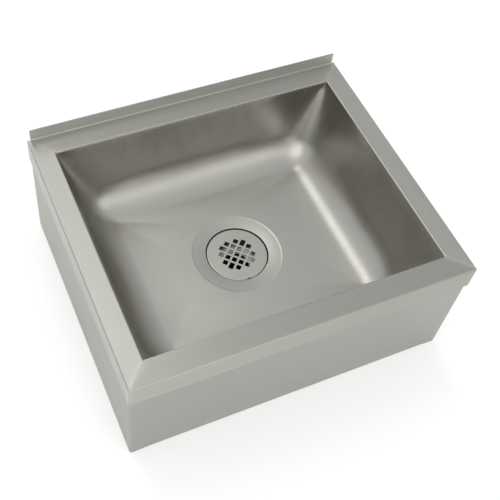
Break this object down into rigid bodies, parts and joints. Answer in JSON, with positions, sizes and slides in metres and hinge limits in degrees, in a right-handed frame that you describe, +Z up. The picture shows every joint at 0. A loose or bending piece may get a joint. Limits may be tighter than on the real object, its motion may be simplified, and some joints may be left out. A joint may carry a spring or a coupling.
{
  "type": "mop sink",
  "caption": "Floor-standing stainless mop sink with a coved bowl, flat mitred rim, rear tile edge, skirt and a lift-out round strainer.",
  "frame": {"origin": "on the floor, in the middle of the footprint", "axes": "+Z up, +X to the right as seen from the front, +Y towards the wall behind, so the front faces -Y"},
  "size_m": [0.635, 0.5334, 0.2794],
  "materials": {
    "bowl_steel": "satin brushed stainless sheet, smooth and soft in its reflections",
    "rim_steel": "brushed stainless sheet, grain along each strip, dressed mitre welds",
    "skirt_steel": "brushed stainless sheet, grain left to right",
    "strainer_steel": "fine brushed stainless, punched square holes with bright edges",
    "drain_steel": "spun stainless, rolled thread on the throat",
    "seal_rubber": "matt black rubber",
    "washer_fibre": "pressed fibre",
    "nut_brass": "cast brass, lightly dulled"
  },
  "bodies": {
    "sink": {"bowl": "bowl_steel", "front_rim": "rim_steel", "rear_rim": "rim_steel", "left_rim": "rim_steel", "right_rim": "rim_steel", "front_panel": "skirt_steel", "rear_panel": "skirt_steel", "left_panel": "skirt_steel", "right_panel": "skirt_steel", "drain_body": "drain_steel", "outlet_reducer": "drain_steel", "flange_seal": "seal_rubber", "drain_gasket": "seal_rubber", "friction_washer": "washer_fibre", "locknut": "nut_brass"},
    "strainer": {"strainer_plate": "strainer_steel"}
  },
  "joints": [
    {"name": "strainer_lift", "type": "slide", "parent": "sink", "child": "strainer", "axis": [0, 0, 1], "range_m": [0, 0.2]}
  ]
}
